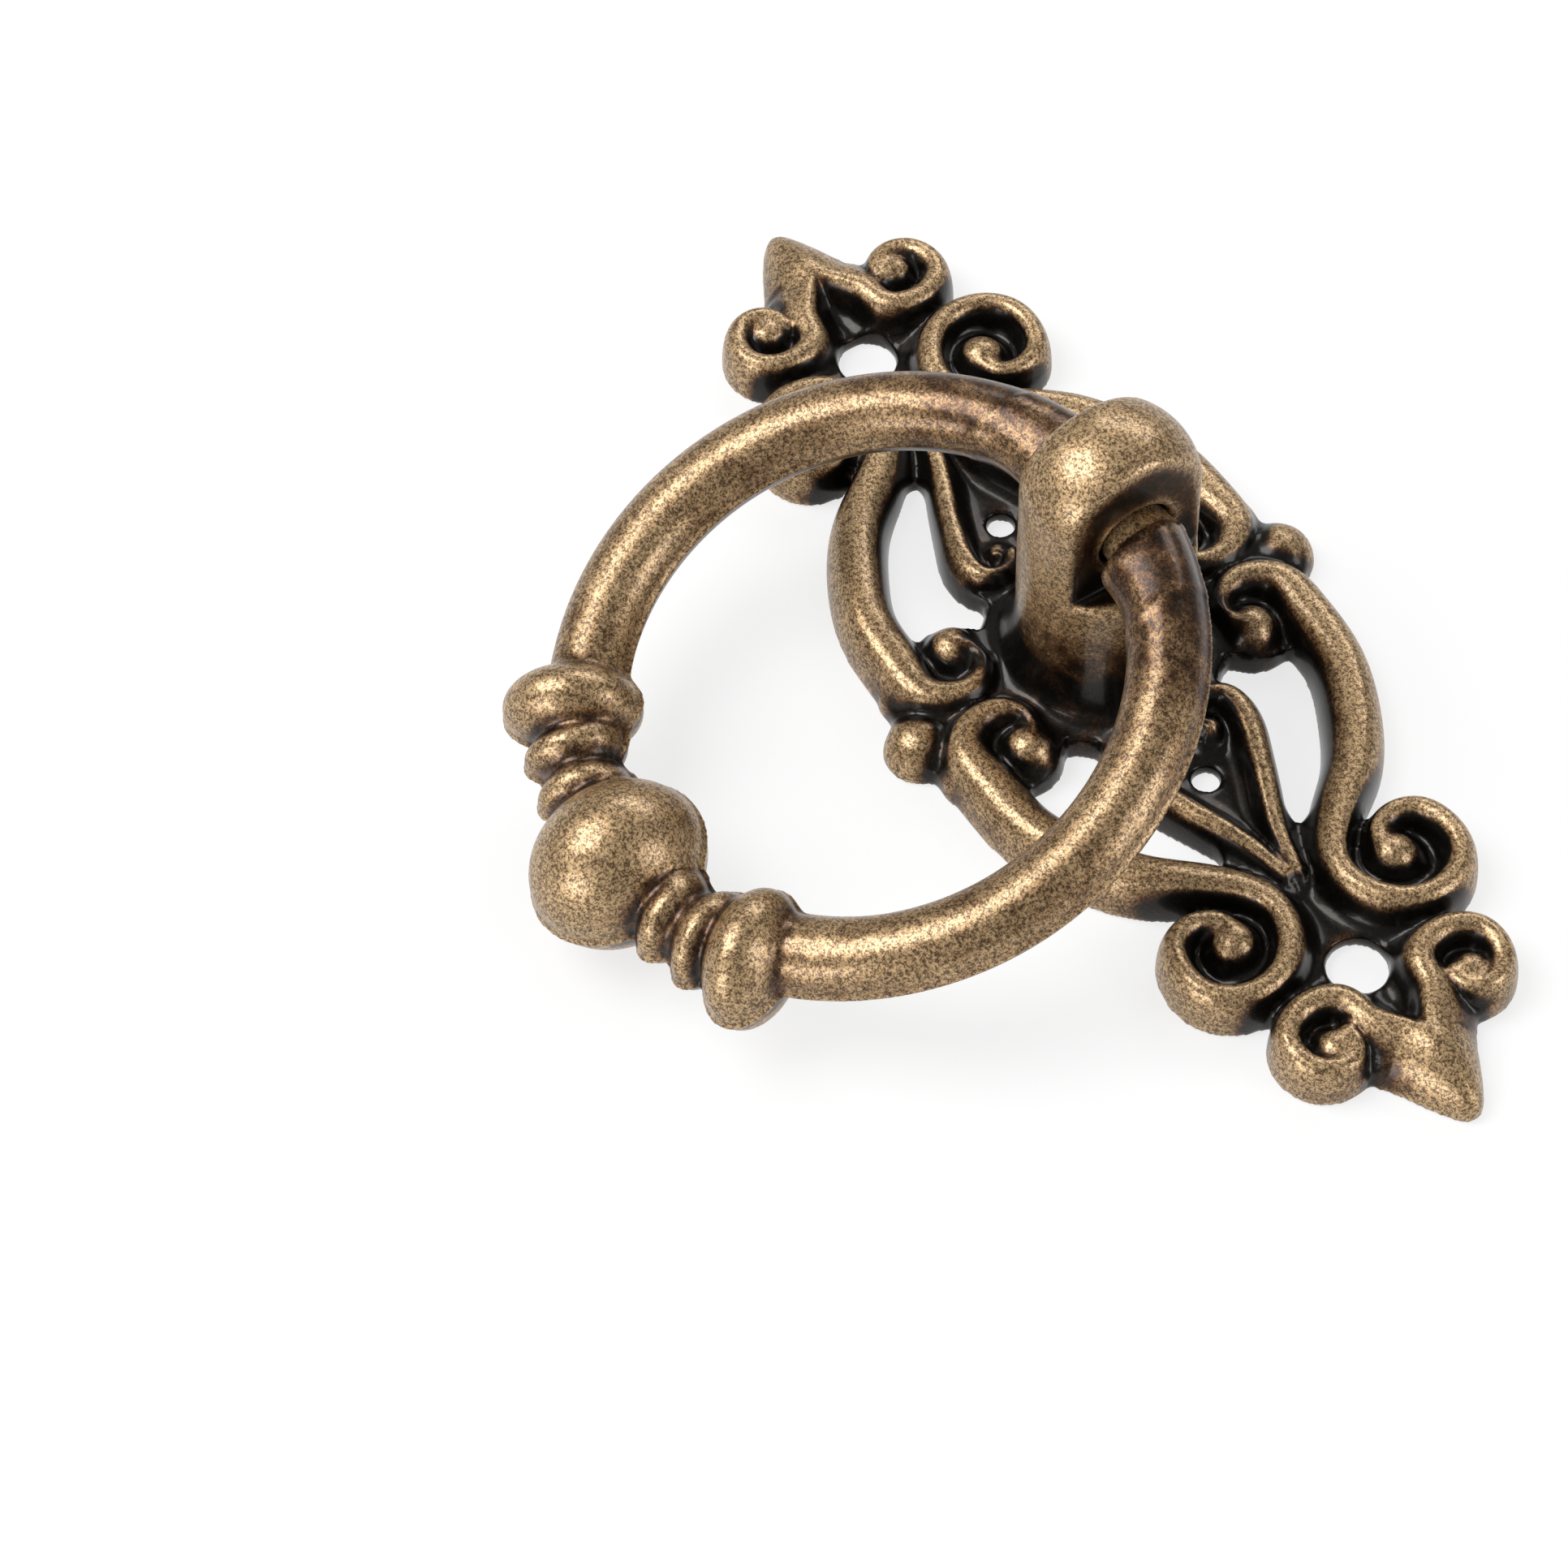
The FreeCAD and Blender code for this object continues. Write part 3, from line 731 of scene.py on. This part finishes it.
counts = np.ceil((ring_corner - [0, ring_low_y, 0]) / ring_step).astype(int)
ring_x, ring_y, ring_z = np.meshgrid(*(np.arange(count) * ring_step for count in counts), indexing="ij")
ring_y += ring_low_y
values = unfolded(ring_values(ring_x, ring_y, ring_z), (0, 2))
places, ring_faces = skin(values)
ring_normals, stands = standing_out(places, ring_faces, 8)
free = openness(values / ring_step, places, ring_normals, open_reaches)
flat_points = places * ring_step + [-ring_x[-1, 0, 0], ring_low_y, -ring_z[0, 0, -1]]
worn = ring_wear_and_painted_light(flat_points, ring_normals, free, stands)
laid = np.array([[1, 0, 0], [0, math.cos(rest_tilt), math.sin(rest_tilt)],
                 [0, -math.sin(rest_tilt), math.cos(rest_tilt)]])
ring_points = flat_points @ laid + [0, 0, pivot_height]
ring = cast_piece("pull_ring", ring_points, ring_faces, worn, "ring_body", "ring")
ring.data.materials.append(antique_brass("antique_ring"))

# Floor, lamps and camera
# A white seamless floor under the handle, soft lamps from the upper left, and the camera at the
# photograph's angle.

floor_half = 1.5
floor_z = -0.00005
floor_material = bpy.data.materials.new("floor_white")
floor_finish = Finish(floor_material)
camera_ray, glossy_ray, through_ray = (
    floor_finish.node("ShaderNodeLightPath", {}, {}, output) for output in (0, 3, 6))
seen = camera_ray + glossy_ray + through_ray
matt = floor_finish.node("ShaderNodeBsdfDiffuse", {}, {"Color": (0.8, 0.8, 0.8, 1)})
white = floor_finish.node("ShaderNodeEmission", {}, {"Color": (1, 1, 1, 1)})
both = floor_finish.node("ShaderNodeMixShader", {}, {0: seen * 0.75, 1: matt, 2: white})
floor_finish.node("ShaderNodeOutputMaterial", {}, {"Surface": both})
floor_mesh = bpy.data.meshes.new("floor")
floor_mesh.from_pydata([(side_x * floor_half, side_y * floor_half, floor_z)
                        for side_x, side_y in ((-1, -1), (1, -1), (1, 1), (-1, 1))], [], [(0, 1, 2, 3)])
floor = bpy.data.objects.new("floor", floor_mesh)
floor.data.materials.append(floor_material)
bpy.context.scene.collection.objects.link(floor)

picture_size = 1932
focal_pixels = 5696
sensor_width = 36
camera_distance = 0.3810
camera_right = -0.02613
camera_up = -0.01044
azimuth, elevation, roll = (math.radians(angle) for angle in (60.57, 56.84, -2.78))
back = Vector((math.sin(azimuth) * math.cos(elevation), -math.cos(azimuth) * math.cos(elevation),
               math.sin(elevation)))
level = Vector((math.cos(azimuth), math.sin(azimuth), 0))
upright = back.cross(level)
right = level * math.cos(roll) + upright * math.sin(roll)
up = upright * math.cos(roll) - level * math.sin(roll)
spot = back * camera_distance + right * camera_right + up * camera_up
camera_data = bpy.data.cameras.new("camera")
camera_data.lens = focal_pixels * sensor_width / picture_size
camera_data.sensor_width = sensor_width
camera_data.clip_start = 0.01
camera_data.clip_end = 10
camera = bpy.data.objects.new("camera", camera_data)
camera.matrix_world = Matrix((
    (right.x, up.x, back.x, spot.x),
    (right.y, up.y, back.y, spot.y),
    (right.z, up.z, back.z, spot.z),
    (0, 0, 0, 1),
))
bpy.context.scene.collection.objects.link(camera)
bpy.context.scene.camera = camera


def soft_lamp(name, sideways, upwards, nearer, size, power):
    """Rectangular lamp placed by the camera's own directions and turned to the handle."""
    lamp = bpy.data.lights.new(name, "AREA")
    lamp.shape = "RECTANGLE"
    lamp.size, lamp.size_y = size
    lamp.energy = power
    made = bpy.data.objects.new(name, lamp)
    made.location = right * sideways + up * upwards + back * nearer
    made.rotation_mode = "QUATERNION"
    made.rotation_quaternion = made.location.to_track_quat("Z", "Y")
    bpy.context.scene.collection.objects.link(made)


soft_lamp("key_lamp", -0.45, 0.35, 0.5, (0.5, 0.5), 6.0)
soft_lamp("front_lamp", -0.45, -0.4, 0.35, (0.4, 0.4), 2.9)
soft_lamp("fill_lamp", 0.6, -0.1, 0.4, (0.3, 0.5), 2.2)
soft_lamp("back_lamp", 0.2, 0.8, 0.1, (0.7, 0.3), 2.6)

world = bpy.data.worlds.new("studio")
sky = Finish(world)
straight = sky.node("ShaderNodeLightPath", {}, {})
glow = sky.node("ShaderNodeBackground", {}, {"Color": (1, 1, 1, 1), "Strength": 0.28})
backdrop = sky.node("ShaderNodeBackground", {}, {"Color": (1, 1, 1, 1), "Strength": 1.0})
whole = sky.node("ShaderNodeMixShader", {}, {0: straight, 1: glow, 2: backdrop})
sky.node("ShaderNodeOutputWorld", {}, {"Surface": whole})
bpy.context.scene.world = world
bpy.context.scene.view_settings.view_transform = "Standard"
